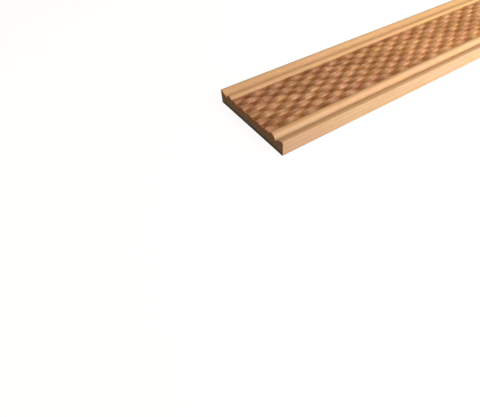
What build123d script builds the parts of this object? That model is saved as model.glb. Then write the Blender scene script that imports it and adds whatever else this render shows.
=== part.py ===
from build123d import *
import math
import os

# Embossed wood moulding: one straight length of machined hardwood, lying on its flat back.
# Units are millimetres. X runs along the length, Y across the width and Z up through the face.
# The origin is the centre of the back face.

# Driving dimensions
length = 2438.4           # an 8 ft stock length
width = 88.9              # 3 1/2 in across the back
thickness = 12.7          # 1/2 in, from the back to the tops of the beads and the outer corners
border_width = 9.7        # from the outer edge to the foot of the bead
border_radius = 18.0      # round over which the border falls towards the bead
border_lean = 7.0         # degrees that the border already falls at the outer edge
front_arris = 0.4         # rounded outer edges of the face
back_arris = 0.8          # eased edges of the back
bead_radius = 4.1         # round of the bead between the border and the field
field_level = 10.8        # mean height of the embossed weave above the back

# Places across the width, on the +Y half
edge_y = width / 2
foot_y = edge_y - border_width
bead_y = foot_y - bead_radius
bead_z = thickness - bead_radius
border_y = edge_y + border_radius * math.sin(math.radians(border_lean))
border_z = thickness - border_radius * math.cos(math.radians(border_lean))


def outer_edge():
    """Back face, eased back edge, upright side and front arris, which meets the border's round."""
    turn_y = edge_y - back_arris
    top_y = edge_y - front_arris
    inner_radius = border_radius - front_arris
    side_top = border_z + math.sqrt(inner_radius**2 - (border_y - top_y)**2)
    lean = math.degrees(math.asin((border_y - top_y) / inner_radius))
    return [
        Line((0, 0), (turn_y, 0)),
        CenterArc((turn_y, back_arris), back_arris, -90, 90),
        Line((edge_y, back_arris), (edge_y, side_top)),
        CenterArc((top_y, side_top), front_arris, 0, 90 + lean),
    ], lean


def border(lean):
    """One round that falls from the front arris to the foot of the bead."""
    end = math.degrees(math.asin((border_y - foot_y) / border_radius))
    foot_z = border_z + border_radius * math.cos(math.radians(end))
    return [CenterArc((border_y, border_z), border_radius, 90 + lean, end - lean)], foot_z


def bead(foot_z):
    """Short upright wall out of the groove, then the half round of the bead down to the field."""
    inner = 180 - math.degrees(math.asin((field_level - bead_z) / bead_radius))
    field_edge = bead_y + bead_radius * math.cos(math.radians(inner))
    return [
        Line((foot_y, foot_z), (foot_y, bead_z)),
        CenterArc((bead_y, bead_z), bead_radius, 0, inner),
        Line((field_edge, field_level), (0, field_level)),
    ]


def section():
    """The whole cross-section: one half and its mirror image, drawn in the YZ plane."""
    edge_lines, lean = outer_edge()
    border_lines, foot_z = border(lean)
    half = Curve() + (edge_lines + border_lines + bead(foot_z))
    outline = half + mirror(half, about=Plane.YZ)
    return make_face(Plane.YZ * outline)


moulding = extrude(section(), amount=length / 2, dir=(1, 0, 0), both=True)
moulding.label = "moulding"

os.makedirs("parts", exist_ok=True)
export_step(moulding, "parts/moulding.step")
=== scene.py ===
# %% [markdown]
# # An embossed wood moulding
# One straight length of pale hardwood. A moulding machine cuts its borders and beads, and a hot
# steel roller then presses a basket weave into the sunk field between the beads.
# The construction model gives the true section and length, and it is loaded first as a fixed
# frame. Everything here is in metres, in that frame: X along the length, Y across, Z up.

# %% Load the frame
import bpy
import math
import numpy as np
from mathutils import Euler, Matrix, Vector


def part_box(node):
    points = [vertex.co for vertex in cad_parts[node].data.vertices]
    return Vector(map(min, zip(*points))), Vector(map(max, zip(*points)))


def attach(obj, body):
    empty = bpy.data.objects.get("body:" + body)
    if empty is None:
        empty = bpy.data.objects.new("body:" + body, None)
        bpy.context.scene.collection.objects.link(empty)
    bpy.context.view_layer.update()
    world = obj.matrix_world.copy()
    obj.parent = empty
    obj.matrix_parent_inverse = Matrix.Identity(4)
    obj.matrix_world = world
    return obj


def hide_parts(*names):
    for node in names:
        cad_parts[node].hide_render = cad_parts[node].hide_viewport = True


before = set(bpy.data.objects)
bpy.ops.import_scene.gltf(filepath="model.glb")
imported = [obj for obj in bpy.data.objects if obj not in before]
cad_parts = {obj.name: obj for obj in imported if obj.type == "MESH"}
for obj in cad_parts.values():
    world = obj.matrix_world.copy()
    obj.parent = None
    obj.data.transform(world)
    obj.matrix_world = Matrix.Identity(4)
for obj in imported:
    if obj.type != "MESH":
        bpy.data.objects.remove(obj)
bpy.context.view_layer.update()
low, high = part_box("moulding")
length = high.x - low.x
width = high.y - low.y
thickness = high.z - low.z
print("moulding", round(length, 4), "x", round(width, 4), "x", round(thickness, 4), "m")

# %% [markdown]
# ## Sizes of the section and the weave
# The section's sizes are the cutter's: a border that falls in one long round to a narrow groove,
# and a half-round bead that stands up out of it. The weave's sizes are the roller's. Nine
# strands lie side by side, and each is a row of long pillows that dip where the ones beside rise.
# The mesh step is rounded so that a whole number of steps makes the length, and a pillow is 14 steps.

# %% Named sizes
mm = 0.001
border_width = 9.7 * mm
border_radius = 18.0 * mm
border_lean = math.radians(7.0)
front_arris = 0.4 * mm
back_arris = 0.8 * mm
bead_radius = 4.1 * mm
groove_round = 0.1 * mm

strand_width = 5.9 * mm
strand_count = 9
pillow_pitch = 20.42 * mm
steps_per_pillow = 14
first_crest = 2.2 * mm
crest_level = 11.5 * mm
valley_level = 9.75 * mm
field_edge_level = 10.8 * mm
arch_power = 1.7
side_power = 2.6
side_fall = 0.16
side_dip = 0.08 * mm
edge_swell = 0.16 * mm
# Sets how far a point counts as pressed in, which drives both the roller's browning and the painted shade of
# the valleys.
browning_and_shade_power = 1.2

edge_y = width / 2
foot_y = edge_y - border_width
bead_y = foot_y - bead_radius
bead_z = thickness - bead_radius

length_steps = round(length / (pillow_pitch / steps_per_pillow))
step = length / length_steps
pitch = step * steps_per_pillow
print("mesh step", round(step / mm, 4), "mm, pitch", round(pitch / mm, 4), "mm")

# %% [markdown]
# ## The section outside the field
# The border and bead are straight along the length, so they are one profile carried along X.
# The profile is built from arcs, each given by its centre, radius and two angles, and the
# straight runs are simply the gaps between one arc and the next. It could also be read from
# the solid, but a formula keeps every edge where the cutter puts it.

# %% Profile
def arc(centre_y, centre_z, radius, start, end, count):
    """Points centre + radius (sin a, cos a), where a runs evenly from start to end, in radians from +Z."""
    angle = np.linspace(start, end, count)
    return np.stack([centre_y + radius * np.sin(angle), centre_z + radius * np.cos(angle)], 1)


def half_profile():
    """The +Y half of the section, from the edge of the field out over the bead and round to the back.
    Bead: arc about (bead_y, bead_z). Border: one long arc, which leans inwards from the outer corner
    on and ends at the foot of the bead. Groove: a small arc that touches the wall and the border's
    arc. Front arris: a small arc that touches the border's arc and the side."""
    inner = -math.acos((field_edge_level - bead_z) / bead_radius)
    border_y = edge_y + border_radius * math.sin(border_lean)
    border_z = thickness - border_radius * math.cos(border_lean)
    groove_y = foot_y + groove_round
    groove_reach = border_radius + groove_round
    groove_angle = -math.asin((border_y - groove_y) / groove_reach)
    groove_z = border_z + groove_reach * math.cos(groove_angle)
    arris_y = edge_y - front_arris
    arris_reach = border_radius - front_arris
    arris_angle = -math.asin((border_y - arris_y) / arris_reach)
    arris_z = border_z + arris_reach * math.cos(arris_angle)
    return np.concatenate([
        arc(bead_y, bead_z, bead_radius, inner, 0, 7),
        arc(bead_y, bead_z, bead_radius, 0, math.pi / 2, 9)[1:],
        arc(groove_y, groove_z, groove_round, -math.pi / 2, groove_angle - math.pi, 3),
        arc(border_y, border_z, border_radius, groove_angle, arris_angle, 9)[1:],
        arc(arris_y, arris_z, front_arris, arris_angle, math.pi / 2, 5)[1:],
        arc(edge_y - back_arris, back_arris, back_arris, math.pi / 2, math.pi, 4),
    ])


half = half_profile()
mirrored = half[::-1] * (-1, 1)
around = np.concatenate([half[1:], mirrored[:-1]])
field_edge_y = half[0, 0]
print("profile points", len(around) + 2, "field edge at", round(field_edge_y / mm, 2), "mm")

# %% [markdown]
# ## The pressed weave
# A pillow is a low arch along its strand, so its height falls from the crest as a power of the
# distance and meets the next pillow in a V. Across the strand it is gently rounded. Strands
# beside each other are half a pitch apart, so a crest always stands beside two valleys, and the
# step between them is the steep little wall that gives the weave its shadows.
# The relief could be a bump map, but its shadows and its cut end need real geometry.

# %% Relief
across = np.array([-0.455, -0.36, -0.14, 0.14, 0.36, 0.455])
strand_middle = (np.arange(strand_count) - (strand_count - 1) / 2) * strand_width


def pillow_height(u, v):
    """Height of the weave: valley + rise (1 - |2u|^arch_power)(1 - side_fall s) - side_dip s, where
    s is |2v|^side_power. u is the distance from the crest in pitches, within half a pitch, and v the
    distance from the strand's middle in strand widths."""
    arch = 1 - np.abs(2 * u) ** arch_power
    side = np.abs(2 * v) ** side_power
    rise = crest_level - valley_level
    return valley_level + rise * arch * (1 - side_fall * side) - side_dip * side


def weave_grid():
    """Grid of points: X along the length, Y over nine strands and the two straight edges of the field.
    Phase of a strand: (x - first crest) / pitch, plus half a pitch on every other strand, wrapped to
    half a pitch either side of the crest. A strand's edge swells a little beside its own crest and
    gives way by the same beside its neighbour's. Also gives how far each point is pressed in, from 0
    on a crest to 1 in a valley."""
    x = low.x + step * np.arange(length_steps + 1)
    strand = np.repeat(np.arange(strand_count), len(across))
    v = np.tile(across, strand_count)
    phase = (x[:, None] - low.x - first_crest) / pitch + 0.5 * (strand[None, :] % 2)
    u = phase - np.round(phase)
    swell = edge_swell * np.cos(2 * np.pi * u) * (2 * v[None, :]) ** 5
    y = strand_middle[strand][None, :] + v[None, :] * strand_width + swell
    z = pillow_height(u, v[None, :])
    edge = np.ones((len(x), 1))
    y = np.hstack([-field_edge_y * edge, y, field_edge_y * edge])
    z = np.hstack([field_edge_level * edge, z, field_edge_level * edge])
    pressing = np.hstack([0.5 * edge, np.abs(2 * u) ** browning_and_shade_power, 0.5 * edge])
    return np.stack([np.broadcast_to(x[:, None], y.shape), y, z], -1), pressing


weave, pressing = weave_grid()
heights = np.round([weave[..., 2].min() / mm, weave[..., 2].max() / mm], 2)
print("weave grid", weave.shape[:2], "heights", *heights, "mm")

# %% [markdown]
# ## One closed skin
# The weave needs a fine mesh and the straight borders don't. So the field is a dense grid, the
# rest is a sparse one, and a row of fans joins them beside the two straight edges of the field.
# The fans fill the first flat strip of each bead, so they can't be seen. A polygon closes each end.

# %% Faces as whole arrays
def quads(grid):
    """Every cell of a grid of vertex numbers as a quad, wound the same way all over."""
    return np.stack([grid[:-1, :-1], grid[1:, :-1], grid[1:, 1:], grid[:-1, 1:]], -1).reshape(-1, 4)


def fans(dense, sparse, ratio):
    """Triangles between a dense row and a sparse row beside it. Each dense span goes to the nearest
    sparse vertex, and each change of that vertex adds one triangle on the sparse row."""
    nearest = np.round((np.arange(len(dense) - 1) + 0.5) / ratio).astype(int)
    spans = np.stack([dense[:-1], dense[1:], sparse[nearest]], 1)
    change = np.flatnonzero(np.diff(nearest))
    turns = np.stack([dense[change + 1], sparse[nearest[change + 1]], sparse[nearest[change]]], 1)
    return np.concatenate([spans, turns])


steps_per_span = 38
spans_along = length_steps // steps_per_span
ratio = length_steps / spans_along
rows = weave.shape[1]
field_ids = np.arange(weave.shape[0] * rows).reshape(weave.shape[0], rows)
sparse_x = np.linspace(low.x, high.x, spans_along + 1)
outside = np.stack([
    np.repeat(sparse_x[:, None], len(around), 1),
    np.broadcast_to(around[:, 0], (spans_along + 1, len(around))),
    np.broadcast_to(around[:, 1], (spans_along + 1, len(around))),
], -1)
outside_ids = field_ids.size + np.arange(outside.size // 3).reshape(outside.shape[:2])
print("sparse spans", spans_along, "of", round(ratio * step / mm, 1), "mm")

# %% [markdown]
# ## The piece
# One mesh holds the whole moulding, because it is one piece of stock. Each face gets the number of
# its finish: pressed, planed or sawn. Edges between two finishes stay sharp and all others are
# smooth. The enclosed volume and the count of open edges show whether the skin is really closed.

# %% Build the piece
PRESSED, PLANED, SAWN = 0, 1, 2


def build_moulding():
    """Joins the grids, fans and ends into one mesh, with a finish number for each face."""
    field_faces = quads(field_ids)
    border_faces = quads(outside_ids)
    near_fans = fans(field_ids[:, 0], outside_ids[:, -1], ratio)[:, ::-1]
    far_fans = fans(field_ids[:, -1], outside_ids[:, 0], ratio)
    left = np.concatenate([field_ids[0], outside_ids[0]])
    right = np.concatenate([field_ids[-1], outside_ids[-1]])[::-1]
    faces = [*field_faces.tolist(), *border_faces.tolist(), *near_fans.tolist(), *far_fans.tolist()]
    faces += [left.tolist(), right.tolist()]
    mesh = bpy.data.meshes.new("embossed_moulding")
    points = np.concatenate([weave.reshape(-1, 3), outside.reshape(-1, 3)])
    mesh.from_pydata(points, [], faces)
    finish = np.full(len(faces), PLANED, np.int32)
    finish[:len(field_faces)] = PRESSED
    finish[-2:] = SAWN
    mesh.polygons.foreach_set("material_index", finish)
    mesh.polygons.foreach_set("use_smooth", finish != SAWN)
    pressed_in = np.zeros(len(points), np.float32)
    pressed_in[:pressing.size] = pressing.ravel()
    mesh.attributes.new("pressed_in", "FLOAT", "POINT").data.foreach_set("value", pressed_in)
    mesh.update()
    piece = bpy.data.objects.new("embossed_moulding", mesh)
    bpy.context.scene.collection.objects.link(piece)
    return piece


def mark_sharp_edges(mesh):
    """An edge is sharp where the finish changes: round the sawn ends and along the edges of the field."""
    corner_edge = np.empty(len(mesh.loops), np.int32)
    mesh.loops.foreach_get("edge_index", corner_edge)
    finish = np.empty(len(mesh.polygons), np.int32)
    mesh.polygons.foreach_get("material_index", finish)
    sides = np.empty(len(mesh.polygons), np.int32)
    mesh.polygons.foreach_get("loop_total", sides)
    corner_finish = np.repeat(finish, sides)
    lowest = np.full(len(mesh.edges), 9, np.int32)
    highest = np.full(len(mesh.edges), -1, np.int32)
    np.minimum.at(lowest, corner_edge, corner_finish)
    np.maximum.at(highest, corner_edge, corner_finish)
    sharp = mesh.attributes.new("sharp_edge", "BOOLEAN", "EDGE")
    sharp.data.foreach_set("value", lowest != highest)
    uses = np.bincount(corner_edge, minlength=len(mesh.edges))
    return int((uses != 2).sum()), int((lowest != highest).sum())


def enclosed_volume(mesh):
    """Sum of the signed tetrahedra from the origin to each triangle: positive if faces point outwards."""
    mesh.calc_loop_triangles()
    corners = np.empty(len(mesh.loop_triangles) * 3, np.int32)
    mesh.loop_triangles.foreach_get("vertices", corners)
    points = np.empty(len(mesh.vertices) * 3)
    mesh.vertices.foreach_get("co", points)
    a, b, c = points.reshape(-1, 3)[corners].reshape(-1, 3, 3).transpose(1, 0, 2)
    return len(corners) // 3, float((a * np.cross(b, c)).sum() / 6)


moulding = build_moulding()
open_edges, sharp_edges = mark_sharp_edges(moulding.data)
triangles, volume = enclosed_volume(moulding.data)
print("triangles", triangles, "volume cm3", round(volume * 1e6, 1))
print("open edges", open_edges, "sharp edges", sharp_edges)
weighted = moulding.modifiers.new("flat faces stay flat", "WEIGHTED_NORMAL")
weighted.keep_sharp = True

# %% [markdown]
# ## Shader maths as Python
# A shader is a sum of small steps, and node links hide the sum. The class below wraps one socket,
# so that a step reads as ordinary arithmetic, and any other node comes from one method.

# %% Wire class
def srgb(red, green, blue):
    """Linear colour of an sRGB colour given in 0 to 255."""
    c = np.array([red, green, blue]) / 255
    return (*np.where(c <= 0.04045, c / 12.92, ((c + 0.055) / 1.055) ** 2.4), 1.0)


class Wire:
    """An output socket that adds Math nodes when it is used in arithmetic."""

    def __init__(self, tree, socket=None):
        self.tree = tree
        self.socket = socket

    def node(self, kind, settings=None, inputs=None, out=0):
        """Adds a node: its settings first, then values or wires for its sockets. Gives one output."""
        new = self.tree.nodes.new(kind)
        for name, value in (settings or {}).items():
            setattr(new, name, value)
        for name, value in (inputs or {}).items():
            if isinstance(value, Wire):
                self.tree.links.new(value.socket, new.inputs[name])
            else:
                new.inputs[name].default_value = value
        return Wire(self.tree, new.outputs[out])

    def math(self, operation, *others):
        """A Math node on this value and the others."""
        return self.node("ShaderNodeMath", {"operation": operation}, dict(enumerate((self, *others))))

    def __add__(self, other):
        return self.math("ADD", other)

    def __sub__(self, other):
        return self.math("SUBTRACT", other)

    def __mul__(self, other):
        return self.math("MULTIPLY", other)

    def __pow__(self, other):
        return self.math("POWER", other)

    def __rsub__(self, other):
        return self.node("ShaderNodeMath", {"operation": "SUBTRACT"}, {0: other, 1: self})

    def between(self, start, end):
        """0 at start, 1 at end and clamped outside them, with a smooth ease."""
        values = {"Value": self, "From Min": start, "From Max": end}
        return self.node("ShaderNodeMapRange", {"interpolation_type": "SMOOTHSTEP"}, values)

    def mix(self, first, second, blend="MIX"):
        """Colour mix of first and second, with this value as the factor."""
        settings = {"data_type": "RGBA", "blend_type": blend}
        return self.node("ShaderNodeMix", settings, {0: self, 6: first, 7: second}, out=2)

    def times(self, colour):
        """This colour times another colour."""
        settings = {"data_type": "RGBA", "blend_type": "MULTIPLY"}
        return self.node("ShaderNodeMix", settings, {0: 1.0, 6: self, 7: colour}, out=2)

    def tinting(self, colour, tint):
        """The colour times a tint, as far as this value is 1, and unchanged where it is 0."""
        return self.mix(colour, (*tint, 1), "MULTIPLY")


mid_grey = srgb(128, 128, 128)[0]
print("a grey of 128 in 255 is", round(float(mid_grey), 3), "in linear light")

# %% [markdown]
# ## The timber
# The stock is a pale, close-grained hardwood. What shows on it is quiet: growth rings as long
# faint streaks, finer fibre lines inside them, small darker flecks, and a slow drift of colour
# between straw and pink. All of it is one solid pattern on Object coordinates, stretched along X,
# so the streaks on the face, the edge and the sawn end belong to the same piece of wood.

# %% Timber pattern
def grain(space, along, crosswise, detail=2.0, roughness=0.5, distortion=0.0):
    """Noise stretched along the length: along and crosswise are features per metre."""
    scale = (along, crosswise, crosswise)
    stretched = space.node("ShaderNodeMapping", None, {"Vector": space, "Scale": scale})
    values = {"Vector": stretched, "Scale": 1.0, "Detail": detail}
    values.update({"Roughness": roughness, "Distortion": distortion})
    return space.node("ShaderNodeTexNoise", {"noise_dimensions": "3D"}, values)


ring_spacing = 3.1 * mm
ring_bend = 7 * mm
pith_y = -0.110
pith_z = -0.085
fleck_colour = srgb(150, 98, 62)


def place_on(space):
    """X, Y and Z of the point, as three wires."""
    split = space.node("ShaderNodeSeparateXYZ", None, {0: space}).socket.node
    return [Wire(space.tree, split.outputs[axis]) for axis in "XYZ"]


def growth_rings(space):
    """0 to 1 over each ring: sine of the distance from the pith, bent by slow noise along the trunk."""
    _, y, z = place_on(space)
    radius = ((y - pith_y) ** 2 + (z - pith_z) ** 2) ** 0.5
    bend = grain(space, 1.3, 14.0, detail=2.0) * ring_bend
    return ((radius + bend) * (2 * math.pi / ring_spacing)).math("SINE") * 0.5 + 0.5


def timber_colour(space, clear, streak, drift):
    """Base colour of the wood, from its clear colour, its ring and fibre colour, and its slow drift."""
    rings = growth_rings(space).between(0.25, 1.0)
    broad = grain(space, 2.4, 120.0, detail=3.0, roughness=0.6)
    fibres = grain(space, 14.0, 1500.0, detail=2.0)
    flecks = grain(space, 260.0, 3300.0, detail=1.0).between(0.62, 0.72)
    figure = grain(space, 45.0, 240.0, detail=2.0)
    slow = grain(space, 18.0, 45.0, detail=2.0).between(0.36, 0.64)
    blush = grain(space, 70.0, 300.0, detail=1.0).between(0.36, 0.64)
    colour = blush.tinting(slow.mix(clear, drift), (1.0, 0.95, 0.97))
    streaks = rings * 0.26 + broad.between(0.42, 0.72) * 0.30 + fibres.between(0.45, 0.75) * 0.16
    colour = (streaks + figure.between(0.40, 0.70) * 0.20).mix(colour, streak)
    return (flecks * 0.30).mix(colour, fleck_colour)


warming_length = 0.25
warming_blend = 3 * mm


def warmed(space, colour, tint):
    """The wood takes on the tint slowly away from the sawn end, all but its near border and bead."""
    x, y, _ = place_on(space)
    beyond_bead = y.between(-bead_y, -field_edge_y + warming_blend)
    return (x.between(low.x, low.x + warming_length) * beyond_bead).tinting(colour, tint)


print("growth rings", round(ring_spacing / mm, 2), "mm apart, bent by up to", round(ring_bend / mm, 2), "mm")

# %% [markdown]
# ## The three finishes
# The cutter leaves planed wood, the hot roller leaves the field denser, warmer and browner in its
# valleys, and the saw leaves dark end grain. So there are three finishes on the one timber. The dark
# of the valleys is partly that browning and partly painted shade. Some tints depend on the place.
# They were tuned to the one angled view in the photograph, and they are painted light and shade: a
# paler near edge, a darker near slope and a paler groove beside the sawn end, a lighter far border,
# a dark far arris and a dark lower rim on the sawn end. The weave also softens along the length.

# %% Finishes
clear_wood = srgb(225, 189, 143)
ring_wood = srgb(203, 159, 114)
pink_wood = srgb(227, 186, 149)
pressed_clear = srgb(228, 183, 151)
pressed_ring = srgb(206, 156, 122)
pressed_pink = srgb(227, 178, 156)
sawn_pale = srgb(200, 173, 152)
sawn_dark = srgb(164, 131, 109)
sawn_pore = srgb(112, 83, 63)

end_fade_start = 0.02
end_fade_stop = 0.12
softening_start = 0.09
softening_stop = 0.24
saw_angle = math.radians(24)
# Height of the painted shade along the lower rim of the sawn end.
dark_rim = 4.2 * mm


def new_finish(name):
    """An empty material, its Object coordinates as a wire, and its shader node."""
    material = bpy.data.materials.new(name)
    material.use_nodes = True
    tree = material.node_tree
    tree.nodes.clear()
    out = tree.nodes.new("ShaderNodeOutputMaterial")
    shader = tree.nodes.new("ShaderNodeBsdfPrincipled")
    tree.links.new(shader.outputs[0], out.inputs["Surface"])
    space = Wire(tree).node("ShaderNodeTexCoord", None, None, out=3)
    return material, space, shader


def connect(shader, colour, roughness, normal):
    """Feeds the three sockets that vary over a surface."""
    tree = colour.tree
    tree.links.new(colour.socket, shader.inputs["Base Color"])
    tree.links.new(roughness.socket, shader.inputs["Roughness"])
    tree.links.new(normal.socket, shader.inputs["Normal"])


def planed_wood():
    """Borders, beads, edges and back: planed and lightly sanded, with a low satin sheen."""
    material, space, shader = new_finish("planed_wood")
    shader.inputs["Specular IOR Level"].default_value = 0.08
    colour = timber_colour(space, clear_wood, ring_wood, pink_wood)
    colour = warmed(space, colour, (0.97, 0.955, 0.82))
    x, y, _ = place_on(space)
    # Painted shade: the near slope darker beside the groove, near the sawn end.
    near_end = 1 - x.between(low.x + end_fade_start, low.x + end_fade_stop)
    slope = (0 - y).between(foot_y + 0.8 * mm, foot_y + 2.0 * mm)
    slope = slope * (y + edge_y).between(2.5 * mm, 4.5 * mm)
    colour = (near_end * slope).tinting(colour, (0.86, 0.88, 0.86))
    # Painted light: near the sawn end the groove is paler and bluer, holding less shade.
    groove = (0 - y).between(foot_y - 1.4 * mm, foot_y - 0.4 * mm)
    groove = groove * (y + foot_y + 1.2 * mm).between(0, 0.8 * mm)
    colour = (near_end * groove).tinting(colour, (1.0, 1.16, 1.26))
    # Painted light: the near edge and the upright near side paler and bluer, as where light falls full on
    # them.
    near_edge = (0 - y).between(edge_y - 2.5 * mm, edge_y)
    colour = near_edge.tinting(colour, (1.05, 1.08, 1.17))
    # Painted light: the far border lighter, on the slope that faces the lamp in front.
    far_border = y.between(foot_y, foot_y + 1.5 * mm)
    colour = far_border.tinting(colour, (1.12, 1.12, 1.13))
    # Painted shade: the far arris, and the far side past it, much darker and less red.
    far_arris = y.between(edge_y - 1.6 * mm, edge_y - 0.4 * mm)
    colour = far_arris.tinting(colour, (0.42, 0.51, 0.72))
    fibre = grain(space, 40.0, 2600.0, detail=2.0)
    knife = grain(space, 320.0, 8.0, detail=0.0)
    height = fibre * 0.7 + knife * 0.3
    normal = space.node("ShaderNodeBump", None, {"Strength": 0.25, "Distance": 0.00012, "Height": height})
    connect(shader, colour, fibre * 0.16 + 0.50, normal)
    return material


def pressed_wood():
    """The field: the hot roller closes the pores, warms the colour and browns the valleys most, and the
    valleys also carry painted shade. Browning and painted shade follow d (2 - d), where d is how far
    the point is pressed in, from 0 to 1."""
    material, space, shader = new_finish("pressed_wood")
    shader.inputs["Specular IOR Level"].default_value = 0.08
    pressed_in = space.node("ShaderNodeAttribute", {"attribute_name": "pressed_in"}, None, out=2)
    patch = grain(space, 90.0, 210.0, detail=1.0)
    depth = (pressed_in + (patch - 0.5) * 0.5).math("MAXIMUM", 0.0).math("MINIMUM", 1.0)
    colour = timber_colour(space, pressed_clear, pressed_ring, pressed_pink)
    colour = warmed(space, colour, (1.10, 1.08, 0.92))
    tone = grain(space, 48.0, 150.0, detail=1.0).between(0.34, 0.66)
    colour = tone.tinting(colour, (0.74, 0.68, 0.62))
    hue = grain(space, 30.0, 110.0, detail=1.0, distortion=0.4).between(0.36, 0.64)
    colour = hue.tinting(colour, (1.0, 1.04, 0.91))
    mottle = grain(space, 380.0, 700.0, detail=1.0).between(0.36, 0.64)
    colour = colour.times(mottle.mix((1.08, 1.10, 1.11, 1), (0.86, 0.86, 0.86, 1)))
    # Valleys browner and darker, most of all in the V at the bottom: partly the roller's browning, partly
    # painted shade.
    colour = (depth * (2 - depth)).tinting(colour, (0.59, 0.43, 0.27))
    colour = depth.between(0.72, 1.05).tinting(colour, (0.92, 0.90, 0.90))
    # Further from the sawn end the valleys are lighter and the crests a little darker: the painted valley
    # shade weakens and the weave looks softer.
    x, _, _ = place_on(space)
    further = x.between(low.x + softening_start, low.x + softening_stop)
    colour = (further * depth).tinting(colour, (1.20, 1.22, 1.18))
    colour = (further * (1 - depth)).tinting(colour, (0.94, 0.94, 0.90))
    fibre = grain(space, 55.0, 1900.0, detail=2.0)
    fibre_tint = fibre.between(0.36, 0.64).mix((1.06, 1.07, 1.07, 1), (0.94, 0.94, 0.94, 1))
    colour = colour.times(fibre_tint)
    normal = space.node("ShaderNodeBump", None, {"Strength": 0.4, "Distance": 0.0002, "Height": fibre})
    connect(shader, colour, fibre * 0.15 + 0.50, normal)
    return material


def sawn_end():
    """The ends: end grain soaks up light, so it is much darker, with open pores and saw marks, and
    almost black along the lower rim, where shade is painted.
    """
    material, space, shader = new_finish("sawn_end")
    shader.inputs["Specular IOR Level"].default_value = 0.1
    rings = growth_rings(space)
    pores = grain(space, 1500.0, 2600.0, detail=2.0)
    saw_path = {"Vector": space, "Rotation": (saw_angle, 0, 0), "Scale": (1, 60, 1500)}
    saw = space.node("ShaderNodeMapping", None, saw_path)
    marks = space.node("ShaderNodeTexNoise", None, {"Vector": saw, "Scale": 1.0, "Detail": 2.0})
    colour = (rings * 0.35 + marks * 0.35).mix(sawn_pale, sawn_dark)
    colour = (pores.between(0.55, 0.75) * 0.5).mix(colour, sawn_pore)
    _, _, z = place_on(space)
    colour = z.between(0.3 * thickness, 0.8 * thickness).tinting(colour, (1.22, 0.96, 0.76))
    # Painted shade: the end almost black along its lower rim, next to the floor.
    colour = (1 - z.between(0, dark_rim)).tinting(colour, (0.22, 0.26, 0.29))
    height = pores * 0.6 + marks * 0.4
    normal = space.node("ShaderNodeBump", None, {"Strength": 0.5, "Distance": 0.0003, "Height": height})
    connect(shader, colour, marks * 0.1 + 0.75, normal)
    return material


for finish in (pressed_wood(), planed_wood(), sawn_end()):
    moulding.data.materials.append(finish)
print("finishes", [m.name for m in moulding.data.materials])

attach(moulding, "root")
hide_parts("moulding")

# %% [markdown]
# ## Floor and background
# The floor is plain and nearly white. What the camera sees of it is mostly its own white, so it
# keeps only a soft shadow. To every other ray it is a mid grey, which keeps the sawn end dark.
# The room is white where it is seen. As light it is soft and warm, and it is made of two even
# backgrounds, a dim one and a bright one, blended by direction so that more comes from the far end.

# %% Stage
def seen_directly(tree):
    """1 for rays from the camera, from gloss and through glass, and 0 for all others."""
    path = Wire(tree).node("ShaderNodeLightPath").socket.node
    seen = Wire(tree, path.outputs["Is Camera Ray"])
    seen = seen.math("MAXIMUM", Wire(tree, path.outputs["Is Glossy Ray"]))
    return seen.math("MAXIMUM", Wire(tree, path.outputs["Is Transmission Ray"]))


def make_floor():
    """A square floor, 12 m a side, just under the back face."""
    half_side = 6.0
    floor_z = low.z - 0.0001
    turns = [(-1, -1), (1, -1), (1, 1), (-1, 1)]
    mesh = bpy.data.meshes.new("floor")
    mesh.from_pydata([(half_side * x, half_side * y, floor_z) for x, y in turns], [], [(0, 1, 2, 3)])
    floor = bpy.data.objects.new("floor", mesh)
    bpy.context.scene.collection.objects.link(floor)
    material = bpy.data.materials.new("pale_floor")
    material.use_nodes = True
    tree = material.node_tree
    tree.nodes.clear()
    out = tree.nodes.new("ShaderNodeOutputMaterial")
    start = Wire(tree)
    seen = seen_directly(tree)
    glow = start.node("ShaderNodeEmission", None, {"Color": (1, 1, 1, 1), "Strength": 0.925})
    lit = start.node("ShaderNodeBsdfDiffuse", None, {"Color": (0.16, 0.16, 0.16, 1)})
    shown = start.node("ShaderNodeAddShader", None, {0: glow, 1: lit})
    bounce = start.node("ShaderNodeBsdfDiffuse", None, {"Color": (0.20, 0.19, 0.18, 1)})
    both = start.node("ShaderNodeMixShader", None, {0: seen, 1: bounce, 2: shown})
    tree.links.new(both.socket, out.inputs["Surface"])
    mesh.materials.append(material)


def make_world(tint, strength, lean):
    """White where it is seen. As light, strength times 1 - lean from the sawn end and 1 + lean from
    the far end, evenly blended between by the X of the direction."""
    world = bpy.data.worlds.new("soft_room")
    world.use_nodes = True
    tree = world.node_tree
    tree.nodes.clear()
    out = tree.nodes.new("ShaderNodeOutputWorld")
    start = Wire(tree)
    seen = seen_directly(tree)
    direction = start.node("ShaderNodeTexCoord")
    along = start.node("ShaderNodeSeparateXYZ", None, {0: direction}) * 0.5 + 0.5
    dim = {"Color": tint, "Strength": strength * (1 - lean)}
    bright = {"Color": tint, "Strength": strength * (1 + lean)}
    behind = start.node("ShaderNodeBackground", None, dim)
    beyond = start.node("ShaderNodeBackground", None, bright)
    room = start.node("ShaderNodeMixShader", None, {0: along, 1: behind, 2: beyond})
    white = start.node("ShaderNodeBackground", None, {"Color": (1, 1, 1, 1), "Strength": 1.0})
    both = start.node("ShaderNodeMixShader", None, {0: seen, 1: room, 2: white})
    tree.links.new(both.socket, out.inputs["Surface"])
    bpy.context.scene.world = world


room_tint = (1.0, 0.80, 0.57, 1)
room_strength = 0.42
room_lean = 0.5
make_floor()
make_world(room_tint, room_strength, room_lean)
print("stage", "floor 12 m square, room strength", room_strength, "lean", room_lean)

# %% [markdown]
# ## Lights
# A long strip stands low in front of the near edge and starts 40 mm in from the near sawn end. A
# smaller warm one stands beyond the far edge and starts 0.2 m in. The near end face looks away
# from both, so it gets none of their light, and the wood brightens away from it. Both run on past
# the other end. Low light across the stock models every round and pillow.

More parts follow.
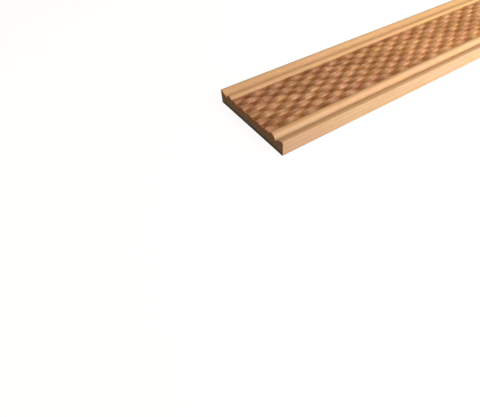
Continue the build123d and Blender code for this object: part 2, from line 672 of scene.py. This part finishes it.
# %% Strip lights
def strip_light(name, start_x, end_x, place_y, place_z, height, radiance, colour):
    """A rectangular lamp along X, turned to face the middle of the moulding.
    Its power is radiance times pi times its area."""
    lamp = bpy.data.lights.new(name, "AREA")
    lamp.shape = "RECTANGLE"
    lamp.size = end_x - start_x
    lamp.size_y = height
    lamp.energy = radiance * math.pi * lamp.size * lamp.size_y
    lamp.color = colour
    place = Vector(((start_x + end_x) / 2, place_y, place_z))
    aim = Vector((place.x, 0, thickness)) - place
    rig = bpy.data.objects.new(name, lamp)
    rig.location = place
    rig.rotation_euler = aim.to_track_quat("-Z", "Y").to_euler()
    rig.visible_camera = False
    bpy.context.scene.collection.objects.link(rig)
    print(name, "runs", round(start_x - low.x, 3), "to", round(end_x - low.x, 3), "m from the sawn end")


strip_end = high.x + 0.10
strip_light(
    "key", start_x=low.x + 0.04, end_x=strip_end, place_y=-0.30, place_z=0.165,
    height=0.24, radiance=4.4, colour=(1.0, 0.985, 0.96))
strip_light(
    "fill", start_x=low.x + 0.20, end_x=strip_end, place_y=0.34, place_z=0.06,
    height=0.10, radiance=3.9, colour=(1.0, 0.80, 0.45))

# %% [markdown]
# ## Camera
# It looks down on the near left corner from the front left, at the photograph's angle. Its place
# is given from that corner, with a heading, a downward tilt and a small roll. The view is shifted
# because the moulding fills only the upper right of the picture.

# %% Camera
image_width, image_height = 480, 417
focal_px = 372.4
centre_px = (265.0, 185.0)
camera_from_corner = Vector((-119.97, -165.78, 181.63)) * mm
heading = math.radians(31.886)
tilt = math.radians(45.902)
roll = math.radians(3.397)

lens = bpy.data.cameras.new("camera")
lens.sensor_width = 36.0
lens.lens = focal_px / image_width * lens.sensor_width
lens.shift_x = (image_width / 2 - centre_px[0]) / image_width
lens.shift_y = (centre_px[1] - image_height / 2) / image_width
lens.clip_start = 0.01
camera = bpy.data.objects.new("camera", lens)
turn = Euler((0, 0, -heading)).to_matrix()
turn = turn @ Euler((math.pi / 2 - tilt, 0, 0)).to_matrix()
turn = turn @ Euler((0, 0, -roll)).to_matrix()
camera.rotation_euler = turn.to_euler()
camera.location = Vector((low.x, low.y, low.z)) + camera_from_corner
bpy.context.scene.collection.objects.link(camera)
bpy.context.scene.camera = camera
bpy.context.scene.view_settings.view_transform = "Standard"
print("lens", round(lens.lens, 2), "mm, shift", round(lens.shift_x, 4), round(lens.shift_y, 4))
